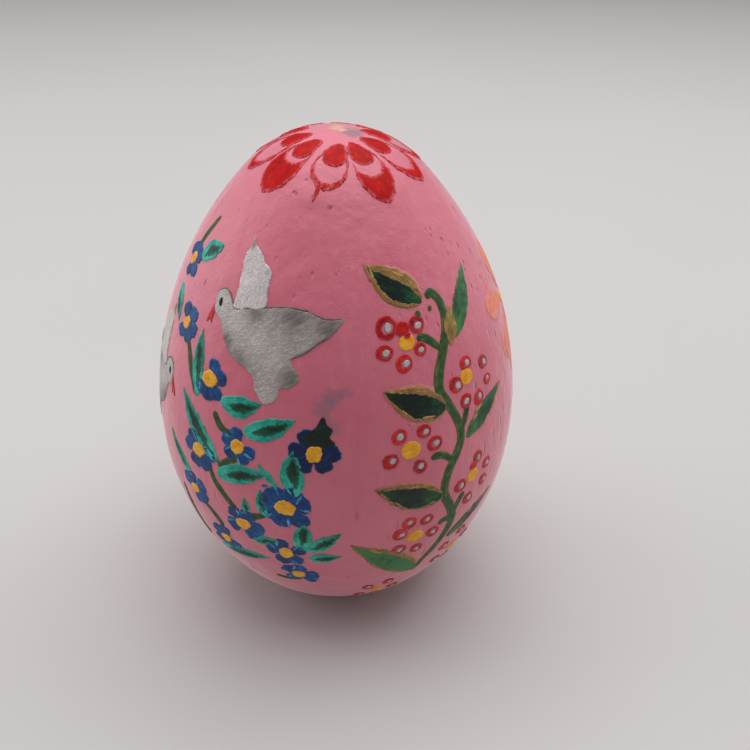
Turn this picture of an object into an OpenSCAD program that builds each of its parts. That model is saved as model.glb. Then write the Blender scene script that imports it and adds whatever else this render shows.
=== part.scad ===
// Turned wooden Easter egg, standing on a small flat foot and painted by brush.
// Origin: centre of the foot. +Z is up, and the side with the flying dove faces -Y.
// Motif places are [longitude, height]: degrees counter-clockwise from -Y seen from above, and mm up.

/* [Egg] */
// Overall height of the painted egg
egg_h = 80; // [74:1:88]
// Largest diameter of the painted egg
egg_d = 58; // [56:1:62]
// Height of the widest point above the foot
belly_z = 34.5; // [31:0.5:38]
// Radius of the pointed end
crown_r = 18.5; // [16:0.5:20]
// Radius of the blunt end
base_r = 26; // [24:0.5:26.5]
// Diameter of the flat foot
foot_d = 13; // [8:1:18]

/* [Paint] */
// Thickness of the pink ground coat
coat_t = 0.3; // [0.2:0.05:0.5]
// Thickness of a brushed motif on the ground coat
film_t = 0.25; // [0.2:0.05:0.4]
// Thickness of a second stroke laid on a first one
top_t = 0.2; // [0.15:0.05:0.3]
// Width of a petal in the crown rosette
crown_petal_w = 5.4; // [4.6:0.1:5.8]
// Diameter of a berry ring
berry_d = 2.5; // [2:0.1:2.8]
// Diameter of a blue petal
petal_d = 2.4; // [1.8:0.1:2.8]
// Width of the berry vine's main stem
stem_w = 1.6; // [1:0.1:2]

/* [Hidden] */
$fn = 96;
overlap = 1;
deep = 6;
shallow = 1.6;

belly_r = egg_d / 2;
foot_r = foot_d / 2;
crown_z = egg_h - crown_r;
base_z = sqrt((base_r - coat_t) ^ 2 - foot_r ^ 2);
upper_r = (belly_r ^ 2 + (crown_z - belly_z) ^ 2 - crown_r ^ 2) / (2 * (belly_r - crown_r));
lower_r = (belly_r ^ 2 + (belly_z - base_z) ^ 2 - base_r ^ 2) / (2 * (belly_r - base_r));
upper_x = belly_r - upper_r;
lower_x = belly_r - lower_r;
crown_join = atan2(crown_z - belly_z, -upper_x);
base_join = atan2(belly_z - base_z, -lower_x);
crown_join_z = crown_z + crown_r * sin(crown_join);
base_join_z = base_z - base_r * sin(base_join);

// Centre [x, z] of the profile arc that passes height z
function arc_centre(z) =
    z > crown_join_z ? [0, crown_z]
    : z > belly_z ? [upper_x, belly_z]
    : z > base_join_z ? [lower_x, belly_z]
    : [0, base_z];
function arc_radius(z) =
    z > crown_join_z ? crown_r : z > belly_z ? upper_r : z > base_join_z ? lower_r : base_r;
function radius_at(z) = arc_centre(z)[0] + sqrt(arc_radius(z) ^ 2 - (z - arc_centre(z)[1]) ^ 2);
function slope_at(z) = atan2(z - arc_centre(z)[1], radius_at(z) - arc_centre(z)[0]);
function point_at(p) = [radius_at(p[1]) * sin(p[0]), -radius_at(p[1]) * cos(p[0]), p[1]];
function middle(p, q) = (p + q) / 2;
function turn_to(p, q) =
    atan2((q[1] - p[1]) / cos(slope_at(middle(p, q)[1])),
          radius_at(middle(p, q)[1]) * (q[0] - p[0]) * PI / 180);

// Berry vine on the right of the front
vine_path = [[33.5, 62], [36, 62.5], [39, 61], [38.5, 58], [35.5, 55.5], [32.5, 52.5], [31.5, 50.5],
             [33.5, 48], [37, 45], [38, 42], [36, 39.5], [33, 37], [32, 33.5], [35.5, 29.5], [37, 26.5],
             [34.5, 22.5], [30, 18.5], [27, 15.5]];
vine_twigs = [[[34.5, 55.5], [26.5, 58]], [[38.5, 43], [41.5, 46.5]], [[35, 38.5], [27, 40.5]],
              [[36.5, 28.5], [40, 31.5]], [[36.5, 27], [31.5, 27]]];
// Leaves as [base, tip, width]
vine_leaf_list = [[[32, 62], [11.5, 67.5], 3.8], [[39, 56], [56.5, 64.5], 3.2],
                  [[33.5, 47.5], [13, 52], 4.3], [[40, 41.5], [60, 46], 3.1],
                  [[31.5, 33], [9.5, 37.5], 4.2], [[37, 22], [58, 27], 2.6],
                  [[27.5, 16], [1.5, 27], 4.2]];
// Berry clusters as [centre, places of its berries]
berry_clusters = [[[22.5, 57.5], [[16.5, 60], [27, 59.5], [27, 56.5], [15, 57], [21, 55]]],
                  [[42.5, 50.5], [[43.5, 52.5], [51.5, 51], [38, 50], [52.5, 48], [41, 47], [47, 46.5]]],
                  [[20.5, 42.5], [[17.5, 45], [25, 45], [28.5, 42.5], [14.5, 41.5], [23.5, 39.5]]],
                  [[43.5, 34], [[45.5, 36.5], [50.5, 34], [50, 31], [38, 33], [42.5, 29.5]]],
                  [[23.5, 26.5], [[21, 29.5], [26.5, 29], [18, 27.5], [29.5, 26], [18.5, 24], [25, 23]]],
                  [[45, 17], [[39, 19], [38.5, 15], [46, 21], [51.5, 18], [47, 13.5]]],
                  [[15, 11], [[10.5, 13], [18.5, 14], [22.5, 10.5], [8, 9], [16, 8]]]];

// Blue garland on the left of the front, with its flowers as [centre, angles of the petals around it]
flower_list = [[[-73, 62.5], [80, 30, -45, -100, 150]], [[-59, 56], [112, 55, -15, -65, -125]],
               [[-42, 51], [78, 22, -45, -92, -140]], [[-45, 39], [125, 70, 5, -62, -112, 178]],
               [[-30, 42.5], [100, 160, -128, -68, -12]], [[-7, 43.5], [62, 0, -55, -125, 172, 118]],
               [[-15, 34], [128, 172, -148, -98, -48, 8, 62]], [[-30, 28.5], [120, 60, -5, -60, -150]],
               [[-40, 22.5], [135, 80, -25, -85, -150]], [[-49, 31], [105, 150, -80, -30, 40]],
               [[-16, 24], [165, 100, 25, -50, -110]], [[-13, 18], [150, 80, 5, -45, -120]]];
garland_leaf_list = [[[-67, 63.5], [-54, 66.5], 3], [[-73, 59.5], [-65, 55], 2.2],
                     [[-46.5, 47.5], [-49, 57], 2.5], [[-37, 48.5], [-22.5, 50], 3.4],
                     [[-36.5, 38.5], [-54, 47.5], 3.4], [[-28.5, 45], [-12, 48.5], 3.3],
                     [[-38, 36.5], [-20.5, 39], 3.4], [[-12, 36], [-13, 44], 3.4],
                     [[-50, 33], [-61, 38.5], 2], [[-46, 18.5], [-23, 21.5], 2.8],
                     [[-28, 25], [-18, 26.5], 1.9], [[-12, 25.5], [-10, 31.5], 3],
                     [[-11, 25], [0.5, 29.5], 2.6], [[-10, 23.5], [0.5, 24], 2.3],
                     [[-22, 31.5], [-23, 36.5], 1.9]];
garland_stem_list = [[[-66, 68.5], [-72, 64]], [[-57, 54.5], [-51, 50.5], [-47, 47.5]],
                     [[-41, 37.5], [-36, 33], [-32, 31]], [[-47, 29], [-39, 25.5]],
                     [[-31, 44], [-39, 46.5]], [[-29, 41], [-37, 38]], [[-22, 31.5], [-28, 30.5]],
                     [[-58, 29], [-52, 19.5]], [[-24, 16], [-14, 17]]];
// Black-green leaf laid over one flower, in mm on the plane that touches the egg at the flower's centre
dark_leaf_flower = 5;
dark_leaf_outline = [[-1.3, 1.2], [-1.6, 2.4], [-0.6, 3.2], [0.4, 4.2], [1.2, 5.6], [1.9, 4.4], [2.6, 3.6],
                     [2.2, 2.6], [2.9, 1.6], [1.6, 1]];

// Doves, drawn in mm on the plane that touches the egg at the anchor
dove_body_outline = [[-9.9, 1.2], [-10.4, 2.4], [-10.4, 3.6], [-9.8, 4.6], [-8.6, 4.9], [-7.5, 4.3],
                     [-6.9, 3.3], [-6.1, 2.3], [-1.3, 3.2], [4.4, 3.7], [7, 3.1], [8.6, 3.1], [10, 3.6],
                     [9.5, 2.4], [8.3, 1], [5, -1.8], [3.2, -3.2], [4.6, -5], [4.6, -6.1], [2.1, -7.3],
                     [1.6, -9], [-0.2, -10], [-1.2, -8.7], [-1.9, -6.6], [-4.4, -5], [-6.3, -3.8],
                     [-7.5, -2.3], [-8.1, -0.7], [-8.7, 0.4]];
dove_wing_outline = [[-6.1, 2.3], [-6.2, 6.8], [-6.1, 10.2], [-5.4, 12.6], [-4.2, 11.1], [-2.8, 9.5],
                     [-1.6, 8.5], [-1.2, 7.1], [-1.3, 3.2]];
dove_beak_outline = [[-10.4, 2.4], [-10.9, 2.1], [-11.4, 1.2], [-12, -0.2], [-11, 0.6], [-10.7, -0.3],
                     [-9.9, 1.2]];
dove_eye_place = [-9.1, 3];
dove_eye_r = 0.45;
// Dark lines along the back and under the spread wing
dove_line_list = [[[-6.2, 1.9], [-1.3, 2.8], [4.4, 3.3], [7, 2.7], [9.3, 2.9]],
                  [[3.6, -2.6], [5, -1.4], [8.2, 1.2]]];
// Each dove as [anchor, turn on the surface, 1 or -1 to face left or right]
dove_list = [[[-22, 59], 0, 1], [[-82, 44.5], 3, -1]];

// Orange blossom on the right side
blossom_place = [84, 54.5];
blossom_petal = 8.6;
blossom_petal_w = 4.6;
blossom_petals = 5;

// The garland and the vine repeat on the back, turned by these angles
garland_turns = [0, -110];
vine_turns = [0, 122];

// Crown rosette, as [place of the drop, place of the petal's tip, how far the bare middle reaches along it],
// with each place as [longitude, distance from the pole]
crown_list = [[[-72, 5.8], [-80, 12.6], 0.86], [[-38, 6.7], [-48, 14], 0.56],
              [[-4, 7.5], [-12, 13], 0.88], [[26, 7.4], [30, 14.4], 0.66], [[60, 6.8], [67, 13.6], 0.8],
              [[97, 6.2], [99, 12.8], 0.84], [[133, 6.8], [137, 13.2], 0.84],
              [[170, 6.6], [169, 13.6], 0.88], [[207, 6.8], [203, 13.2], 0.8],
              [[246, 6.4], [244, 12.8], 0.86]];
crown_arm = 0.8;
drop_back = 2.6;
drop_ahead = 1.9;
drop_w = 3.1;
drop_seat = 0.96;

// Small strokes
foot_lip = 0.4;
twig_w = 1.1;
dove_line_w = 0.3;
heart_share = 0.45;
heart_inset = 0.15;
petal_ring_r = 1.9;
light_w = 0.4;
flower_centre_d = 1.8;
gilding_w = 0.4;
berry_gap_d = 1.5;
berry_dot_d = 1;
berry_centre_d = 2.4;
blossom_eye_d = 2.4;

// Half outline of the egg, grown by off
module half_profile(off) {
    band(crown_join_z + off * sin(crown_join), egg_h + off, 0, crown_z, crown_r + off);
    band(belly_z, crown_join_z + off * sin(crown_join), upper_x, belly_z, upper_r + off);
    band(base_join_z - off * sin(base_join), belly_z, lower_x, belly_z, lower_r + off);
    band(0, base_join_z - off * sin(base_join), 0, base_z, base_r + off);
}

// Part of a circle between two heights, right of the axis
module band(low, high, x, z, r) {
    intersection() {
        translate([0, low]) square([egg_d, high - low]);
        translate([x, z]) circle(r, $fn = 360);
    }
}

// Skin of the egg from one offset to another, measured from the ground coat's surface
module skin(inner, outer) {
    rotate_extrude() difference() {
        half_profile(outer);
        half_profile(inner);
    }
}

// A film of paint with the outline of its children, which are prisms through the surface
module film(inner, outer) {
    intersection() {
        skin(inner, outer);
        union() children();
    }
}

// Stands a 2D outline on the egg at p, pushed through the surface
module on_egg(p, turn = 0, depth = shallow) {
    rotate([0, 0, p[0]]) translate([0, -radius_at(p[1]), p[1]]) rotate([90 - slope_at(p[1]), 0, 0])
        rotate([0, 0, turn]) translate([0, 0, -depth]) linear_extrude(depth + overlap) children();
}

module egg_body() {
    color([0.80, 0.64, 0.45]) rotate_extrude() half_profile(-coat_t);
}

// The coat stops short of the foot, so the egg rests on bare wood
module ground_coat() {
    color([0.82, 0.52, 0.58]) difference() {
        skin(-coat_t, 0);
        translate([0, 0, -overlap]) cylinder(h = foot_lip + overlap, d = egg_d);
    }
}

// Pointed oval from [0, 0] to [length, 0]
module leaf_shape(length, width) {
    r = (length ^ 2 + width ^ 2) / (4 * width);
    intersection() {
        translate([length / 2, r - width / 2]) circle(r);
        translate([length / 2, width / 2 - r]) circle(r);
    }
}

// Drop with its point at [0, 0] and a round end that reaches [length, 0]; its straight sides end in the round
module drop_shape(length, width) {
    r = width / 2;
    far = length - r;
    lean = asin(drop_seat * r / far);
    side = far * cos(lean);
    translate([far, 0]) circle(r);
    polygon([[0, 0], [side * cos(lean), -side * sin(lean)], [side * cos(lean), side * sin(lean)]]);
}

// A leaf_shape on the egg from one place to another, shrunk at both ends by inset
module leaf(base, tip, width, inset = 0) {
    length = norm(point_at(tip) - point_at(base));
    on_egg(middle(base, tip), turn_to(base, tip)) translate([inset - length / 2, 0])
        leaf_shape(length - 2 * inset, width);
}

// Straight brush stroke with round ends between two places
module stroke(a, b, width) {
    length = norm(point_at(b) - point_at(a));
    on_egg(middle(a, b), turn_to(a, b)) square([length, width], center = true);
    on_egg(a) circle(d = width);
    on_egg(b) circle(d = width);
}

module path(points, width) {
    for (i = [1:len(points) - 1]) stroke(points[i - 1], points[i], width);
}

// Children repeated at each angle of a full ring
module ring_of(count) {
    for (i = [0:count - 1]) rotate([0, 0, i * 360 / count]) children();
}

// Point on the level plane at the pole
function polar(p) = [p[1] * sin(p[0]), -p[1] * cos(p[0])];
function crown_length(c) = norm(polar(c[1]) - polar(c[0])) + drop_back;

// Stands a crown outline upright through the skin, from a petal's base towards its tip
module on_crown(c) {
    ahead = polar(c[1]) - polar(c[0]);
    translate([0, 0, crown_join_z - 2 * overlap]) linear_extrude(crown_r) translate(polar(c[0]))
        rotate(atan2(ahead[1], ahead[0])) translate([-drop_back, 0]) children();
}

module crown_petals() {
    color([0.77, 0.13, 0.13]) film(0, film_t) for (c = crown_list) on_crown(c) difference() {
        drop_shape(crown_length(c), crown_petal_w);
        translate([crown_arm, 0]) drop_shape(crown_length(c) * c[2], crown_petal_w * c[2]);
    }
}

module crown_drops() {
    color([0.72, 0.12, 0.11]) film(0, film_t) for (c = crown_list) on_crown(c)
        drop_shape(drop_back + drop_ahead, drop_w);
}

// Draws children, in mm on the touching plane, on each dove
module on_doves() {
    for (dove = dove_list)
        on_egg(dove[0], dove[1], deep) scale([dove[2], 1]) children();
}

module dove_bodies() {
    color([0.68, 0.67, 0.67]) film(0, film_t) on_doves() difference() {
        polygon(dove_body_outline);
        translate(dove_eye_place) circle(dove_eye_r);
    }
}

module dove_wings() {
    color([0.76, 0.75, 0.75]) film(0, film_t) on_doves() polygon(dove_wing_outline);
}

module dove_beaks() {
    color([0.78, 0.10, 0.12]) film(0, film_t) on_doves() polygon(dove_beak_outline);
}

module dove_eyes() {
    color([0.05, 0.05, 0.06]) film(0, film_t) on_doves() translate(dove_eye_place) circle(dove_eye_r);
}

module dove_outlines() {
    color([0.36, 0.37, 0.39]) film(film_t, film_t + top_t) on_doves() for (points = dove_line_list)
        for (i = [1:len(points) - 1]) {
            a = points[i - 1];
            b = points[i];
            translate(middle(a, b)) rotate(atan2(b[1] - a[1], b[0] - a[0]))
                square([norm(b - a) + dove_line_w / 2, dove_line_w], center = true);
        }
}

// Children repeated at each of the angles about Z
module at_angles(angles) {
    for (a = angles) rotate([0, 0, a]) children();
}

module garland_stems() {
    color([0.10, 0.40, 0.30]) at_angles(garland_turns) film(0, film_t) for (s = garland_stem_list)
        path(s, twig_w);
}

module garland_leaves() {
    color([0.08, 0.58, 0.52]) at_angles(garland_turns) film(0, film_t) for (l = garland_leaf_list)
        leaf(l[0], l[1], l[2]);
}

// Dark green strokes laid on the garland's leaves
module leaf_hearts() {
    color([0.02, 0.24, 0.18]) at_angles(garland_turns) film(film_t, film_t + top_t)
        for (l = garland_leaf_list) {
            inset = norm(point_at(l[1]) - point_at(l[0])) * heart_inset;
            leaf(l[0], l[1], l[2] * heart_share, inset);
        }
}

module dark_leaf() {
    color([0.06, 0.12, 0.10]) at_angles(garland_turns) film(film_t, film_t + top_t)
        on_egg(flower_list[dark_leaf_flower][0], 0, deep) polygon(dark_leaf_outline);
}

module blue_petals() {
    color([0.09, 0.20, 0.55]) at_angles(garland_turns) film(0, film_t) for (f = flower_list)
        on_egg(f[0]) at_angles(f[1]) translate([petal_ring_r, 0]) circle(d = petal_d);
}

module petal_lights() {
    color([0.25, 0.50, 0.85]) at_angles(garland_turns) film(film_t, film_t + top_t) for (f = flower_list)
        on_egg(f[0]) at_angles(f[1]) translate([petal_ring_r + 0.2, 0])
            square([petal_d * 0.5, light_w], center = true);
}

module flower_centres() {
    color([0.95, 0.75, 0.15]) at_angles(garland_turns) film(film_t, film_t + top_t) for (f = flower_list)
        on_egg(f[0]) circle(d = flower_centre_d);
}

module vine_stem() {
    color([0.12, 0.36, 0.18]) at_angles(vine_turns) film(0, film_t) {
        path(vine_path, stem_w);
        for (t = vine_twigs) path(t, twig_w);
    }
}

module vine_leaves() {
    color([0.08, 0.27, 0.14]) at_angles(vine_turns) film(0, film_t) for (l = vine_leaf_list)
        leaf(l[0], l[1], l[2]);
}

// Gold stroke along each vine leaf's edge
module leaf_gilding() {
    color([0.60, 0.50, 0.22]) at_angles(vine_turns) film(film_t, film_t + top_t) for (l = vine_leaf_list)
        difference() {
            leaf(l[0], l[1], l[2], 0.1);
            leaf(l[0], l[1], l[2] - 2 * gilding_w, 0.5);
        }
}

// Draws children at each berry
module on_berries() {
    for (c = berry_clusters) for (p = c[1]) on_egg(p) children();
}

module berry_rings() {
    color([0.75, 0.10, 0.12]) at_angles(vine_turns) film(0, film_t) on_berries() difference() {
        circle(d = berry_d);
        circle(d = berry_gap_d);
    }
}

module berry_dots() {
    color([0.74, 0.74, 0.75]) at_angles(vine_turns) film(0, film_t) on_berries() circle(d = berry_dot_d);
}

module berry_centres() {
    color([0.93, 0.68, 0.16]) at_angles(vine_turns) film(0, film_t) for (c = berry_clusters)
        on_egg(c[0]) circle(d = berry_centre_d);
}

module orange_blossom() {
    color([0.88, 0.48, 0.36]) film(0, film_t) on_egg(blossom_place, 90, deep) ring_of(blossom_petals)
        translate([blossom_eye_d / 2 + 0.4, 0]) leaf_shape(blossom_petal, blossom_petal_w);
}

module blossom_eye() {
    color([0.93, 0.72, 0.30]) film(0, film_t) on_egg(blossom_place) circle(d = blossom_eye_d);
}

egg_body();
ground_coat();
crown_petals();
crown_drops();
dove_bodies();
dove_wings();
dove_beaks();
dove_eyes();
dove_outlines();
garland_stems();
garland_leaves();
leaf_hearts();
dark_leaf();
blue_petals();
petal_lights();
flower_centres();
vine_stem();
vine_leaves();
leaf_gilding();
berry_rings();
berry_dots();
berry_centres();
orange_blossom();
blossom_eye();
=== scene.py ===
"""Looks for a brush-painted wooden egg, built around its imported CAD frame.

Lengths in the motif lists are millimetres, and places are (longitude, height): degrees from the side
that faces -Y, counter-clockwise seen from above, and millimetres above the foot.
"""

import math
import random

import bpy
import numpy as np
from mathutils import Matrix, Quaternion, Vector, geometry, noise


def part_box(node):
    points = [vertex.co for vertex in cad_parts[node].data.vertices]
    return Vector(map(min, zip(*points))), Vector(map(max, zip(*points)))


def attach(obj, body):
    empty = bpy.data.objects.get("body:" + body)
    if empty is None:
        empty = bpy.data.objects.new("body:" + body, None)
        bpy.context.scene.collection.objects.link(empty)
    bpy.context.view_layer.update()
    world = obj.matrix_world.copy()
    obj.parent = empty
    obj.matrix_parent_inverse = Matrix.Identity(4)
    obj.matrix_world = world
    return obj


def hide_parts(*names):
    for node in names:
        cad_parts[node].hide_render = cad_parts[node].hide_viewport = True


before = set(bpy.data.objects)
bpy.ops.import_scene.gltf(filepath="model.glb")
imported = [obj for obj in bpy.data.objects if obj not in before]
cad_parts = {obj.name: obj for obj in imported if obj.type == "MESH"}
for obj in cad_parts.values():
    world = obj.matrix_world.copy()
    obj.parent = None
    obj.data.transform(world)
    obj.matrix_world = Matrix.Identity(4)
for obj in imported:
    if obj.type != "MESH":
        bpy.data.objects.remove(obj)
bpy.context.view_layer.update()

MM = 0.001
SEED = 7

# ---------------------------------------------------------------- the egg's surface
COAT_LOW, COAT_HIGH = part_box("ground_coat")
EGG_H = COAT_HIGH.z / MM
BELLY_R = COAT_HIGH.x / MM
FOOT_LIP = COAT_LOW.z / MM
FOOT_R = 6.5
BELLY_Z = 34.5
CROWN_R = 18.5
BASE_R = 26.0
COAT_T = 0.3
# Height of a brushed motif, and of a stroke laid over it, which are thinner than the CAD films
BRUSH_T = 0.12
OVER_T = 0.08
# Angle in degrees above which a film's edge is drawn sharp
SHARP = 50
# Depth that the underside of each film is sunk below its surroundings
SUNK = 0.12

CROWN_Z = EGG_H - CROWN_R
BASE_Z = math.sqrt((BASE_R - COAT_T) ** 2 - FOOT_R ** 2)


def side_radius(cap_r, rise):
    """Radius of the side arc that meets the belly and a cap of radius cap_r, centred rise away from it."""
    return (BELLY_R ** 2 + rise ** 2 - cap_r ** 2) / (2 * (BELLY_R - cap_r))


UPPER_R = side_radius(CROWN_R, CROWN_Z - BELLY_Z)
LOWER_R = side_radius(BASE_R, BELLY_Z - BASE_Z)
CROWN_JOIN = math.atan2(CROWN_Z - BELLY_Z, UPPER_R - BELLY_R)
BASE_JOIN = math.atan2(BELLY_Z - BASE_Z, LOWER_R - BELLY_R)


# Waves of the ground coat: height in mm, and waves per mm across and up the egg
WAVES = ((0.07, 0.11, 0.11), (0.035, 0.55, 0.35))


def dents(points):
    """Small waves and dents that the ground coat has, in mm, at points in mm."""
    return sum(height * np.array([noise.noise(Vector((x * wide, y * wide, z * up))) for x, y, z in points])
               for height, wide, up in WAVES)


def surface_frame(points):
    """Distance outside the smooth egg and the outward normal, for each point in mm."""
    across = np.hypot(points[:, 0], points[:, 1])
    height = points[:, 2]
    crown = np.arctan2(height - CROWN_Z, across) > CROWN_JOIN
    base = np.arctan2(height - BASE_Z, across) < -BASE_JOIN
    upper = height > BELLY_Z
    centre_r = np.where(crown | base, 0.0, np.where(upper, BELLY_R - UPPER_R, BELLY_R - LOWER_R))
    centre_z = np.where(crown, CROWN_Z, np.where(base, BASE_Z, BELLY_Z))
    arc = np.where(crown, CROWN_R, np.where(base, BASE_R, np.where(upper, UPPER_R, LOWER_R)))
    out = across - centre_r
    rise = height - centre_z
    length = np.hypot(out, rise)
    safe = np.maximum(across, 1e-6)
    normal = np.stack([points[:, 0] / safe * out, points[:, 1] / safe * out, rise], 1)
    return length - arc, normal / length[:, None]


def snap(points, height):
    """Moves points along the egg's normal until they stand height mm above the painted ground."""
    moved = np.array(points, float)
    for _ in range(3):
        off, normal = surface_frame(moved)
        moved -= normal * off[:, None]
    return moved + normal * (height + dents(moved))[:, None]


def radius_at(z):
    """Radius of the smooth egg at height z."""
    if z > CROWN_Z + CROWN_R * math.sin(CROWN_JOIN):
        return math.sqrt(max(CROWN_R ** 2 - (z - CROWN_Z) ** 2, 0.0))
    if z > BELLY_Z:
        return math.sqrt(UPPER_R ** 2 - (z - BELLY_Z) ** 2) + BELLY_R - UPPER_R
    if z > BASE_Z - BASE_R * math.sin(BASE_JOIN):
        return math.sqrt(LOWER_R ** 2 - (z - BELLY_Z) ** 2) + BELLY_R - LOWER_R
    return math.sqrt(BASE_R ** 2 - (z - BASE_Z) ** 2)


def on_surface(place):
    """Point in mm at a (longitude, height) place."""
    lon = math.radians(place[0])
    r = radius_at(place[1])
    return np.array([r * math.sin(lon), -r * math.cos(lon), place[1]])


class Plane:
    """A plane that touches the egg at a place, turned by an angle, to draw outlines on."""

    def __init__(self, place, turn=0.0, flip=1):
        self.origin = on_surface(place)
        normal = surface_frame(self.origin[None])[1][0]
        lon = math.radians(place[0])
        east = np.array([math.cos(lon), math.sin(lon), 0.0])
        north = np.cross(normal, east)
        angle = math.radians(turn)
        self.right = (east * math.cos(angle) + north * math.sin(angle)) * flip
        self.up = north * math.cos(angle) - east * math.sin(angle)
        self.flip = flip

    def lift(self, outline):
        """Points in mm, in space, of outline points on the plane."""
        flat = np.asarray(outline, float)
        return self.origin + flat[:, :1] * self.right + flat[:, 1:2] * self.up


class CrownPlane(Plane):
    """The level plane at the pointed end, with its right side towards the front."""

    def __init__(self):
        self.origin = np.array([0.0, 0.0, EGG_H])
        self.right = np.array([0.0, -1.0, 0.0])
        self.up = np.array([1.0, 0.0, 0.0])
        self.flip = 1

    def lift(self, outline):
        points = super().lift(outline)
        across = np.minimum(np.hypot(points[:, 0], points[:, 1]), CROWN_R * 0.98)
        points[:, 2] = CROWN_Z + np.sqrt(CROWN_R ** 2 - across ** 2)
        return points


# ---------------------------------------------------------------- outlines
def bent(before, start, end, after, per_side):
    """Points from each start towards its end, on a Catmull-Rom curve."""
    t = np.arange(per_side)[None, :, None] / per_side
    a, b, c, d = before[:, None], start[:, None], end[:, None], after[:, None]
    curve = 0.5 * (2 * b + (c - a) * t + (2 * a - 5 * b + 4 * c - d) * t ** 2
                   + (3 * b - a - 3 * c + d) * t ** 3)
    return curve.reshape(-1, start.shape[1])


def smooth_loop(corners, per_side):
    """Closed smooth curve through the corners."""
    p = np.asarray(corners, float)
    return bent(np.roll(p, 1, 0), p, np.roll(p, -1, 0), np.roll(p, -2, 0), per_side)


def smooth_line(knots, per_side):
    """Open smooth curve through the knots."""
    p = np.asarray(knots, float)
    p = np.vstack([2 * p[0] - p[1], p, 2 * p[-1] - p[-2]])
    return np.vstack([bent(p[:-3], p[1:-2], p[2:-1], p[3:], per_side), p[-2:-1]])


def run_along(points):
    """Distance of each point from the first one, along the line through them."""
    return np.concatenate([[0], np.cumsum(np.linalg.norm(np.diff(points, axis=0), axis=1))])


def even_loop(loop, step):
    """The closed loop with points about step apart."""
    closed = np.vstack([loop, loop[:1]])
    run = run_along(closed)
    count = max(8, int(round(run[-1] / step)))
    at = np.linspace(0, run[-1], count, endpoint=False)
    return np.stack([np.interp(at, run, closed[:, k]) for k in (0, 1)], 1)


def outward(loop):
    """Direction square to the loop at each of its points."""
    ahead = np.roll(loop, -1, 0) - np.roll(loop, 1, 0)
    side = np.stack([ahead[:, 1], -ahead[:, 0]], 1)
    return side / np.maximum(np.linalg.norm(side, axis=1, keepdims=True), 1e-9)


def wobble(loop, amount, rng, scale=1.1):
    """The loop with the small uneven edge that a brush leaves."""
    shift = Vector((rng.uniform(-50, 50), rng.uniform(-50, 50), 0))
    push = np.array([noise.noise(Vector((x * scale, y * scale, 0)) + shift)
                     + 0.5 * noise.noise(Vector((x * scale * 3, y * scale * 3, 4)) + shift) for x, y in loop])
    return loop + outward(loop) * (push * amount)[:, None]


def turned(outline, angle, shift=(0.0, 0.0)):
    """The outline turned about the origin and then moved."""
    c, s = math.cos(math.radians(angle)), math.sin(math.radians(angle))
    p = np.asarray(outline, float)
    return np.stack([c * p[:, 0] - s * p[:, 1] + shift[0], s * p[:, 0] + c * p[:, 1] + shift[1]], 1)


def tongue_outline(start, reach, width, belly=0.62, narrow=0.75, point=0.5):
    """Petal along +X from start to reach: narrow at its base and round at its end."""
    t = np.linspace(0, 1, 30)
    rising = np.clip(t / belly, 0, 1) ** narrow
    falling = (1 - np.clip((t - belly) / (1 - belly), 0, 1) ** 2) ** point
    half = width / 2 * rising * falling
    x = start + t * (reach - start)
    return np.vstack([np.stack([x, half], 1), np.stack([x, -half], 1)[::-1][1:-1]])


def leaf_outline(length, width, belly=0.42, bend=0.0, blunt=0.25):
    """Leaf from (-length/2, 0) to (length/2, 0), widest at share belly, with a blunt base."""
    t = np.linspace(0, 1, 26)
    reach = np.where(t < belly, t / belly, (1 - t) / (1 - belly))
    half = width / 2 * np.sin(np.clip(reach, 0, 1) * math.pi / 2) ** np.where(t < belly, 1 - blunt, 1.05)
    x = (t - 0.5) * length
    arch = bend * (1 - (2 * t - 1) ** 2)
    upper = np.stack([x, arch + half], 1)
    lower = np.stack([x, arch - half], 1)[::-1]
    return np.vstack([upper, lower[1:-1]])


def oval_outline(length, width, centre=(0.0, 0.0), turn=0.0):
    """Oval with its long side turned by an angle."""
    t = np.linspace(0, 2 * math.pi, 28, endpoint=False)
    return turned(np.stack([np.cos(t) * length / 2, np.sin(t) * width / 2], 1), turn, centre)


def inside(points, loop):
    """Which points lie inside the closed loop."""
    x, y = points[:, 0][:, None], points[:, 1][:, None]
    x1, y1 = loop[:, 0][None], loop[:, 1][None]
    x2, y2 = np.roll(x1, -1, 1), np.roll(y1, -1, 1)
    crosses = (y1 > y) != (y2 > y)
    slope = np.where(np.abs(y2 - y1) < 1e-12, 1e-12, y2 - y1)
    hits = crosses & (x < (x2 - x1) * (y - y1) / slope + x1)
    return hits.sum(1) % 2 == 1


def filled(points, loops):
    """Which points lie inside the first loop and outside the others."""
    keep = inside(points, loops[0])
    for hole in loops[1:]:
        keep &= ~inside(points, hole)
    return keep


def edge_distance(points, loops):
    """Distance from each point to the nearest side of any loop."""
    best = np.full(len(points), 1e9)
    for loop in loops:
        a = loop[None]
        side = np.roll(loop, -1, 0)[None] - a
        t = ((points[:, None] - a) * side).sum(2) / np.maximum((side ** 2).sum(2), 1e-12)
        foot = a + side * np.clip(t, 0, 1)[..., None]
        best = np.minimum(best, np.linalg.norm(points[:, None] - foot, axis=2).min(1))
    return best


def border_sides(faces):
    """Sides that only one face has."""
    sides = dict.fromkeys(pair for i, j, k in faces for pair in ((i, j), (j, k), (k, i)))
    return [(i, j) for i, j in sides if (j, i) not in sides]


def new_object(name, data):
    """A new object in the scene."""
    made = bpy.data.objects.new(name, data)
    bpy.context.scene.collection.objects.link(made)
    return made


# ---------------------------------------------------------------- paint films
# Height of a film at its very edge, away from it, and of the bead beside it, as shares of its thickness
SKIRT = 0.08
FLAT = 0.8
BEAD = 0.12
# Waves per mm along and across a stroke that its bristles leave
BRISTLES = (0.5, 3.5)
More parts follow.
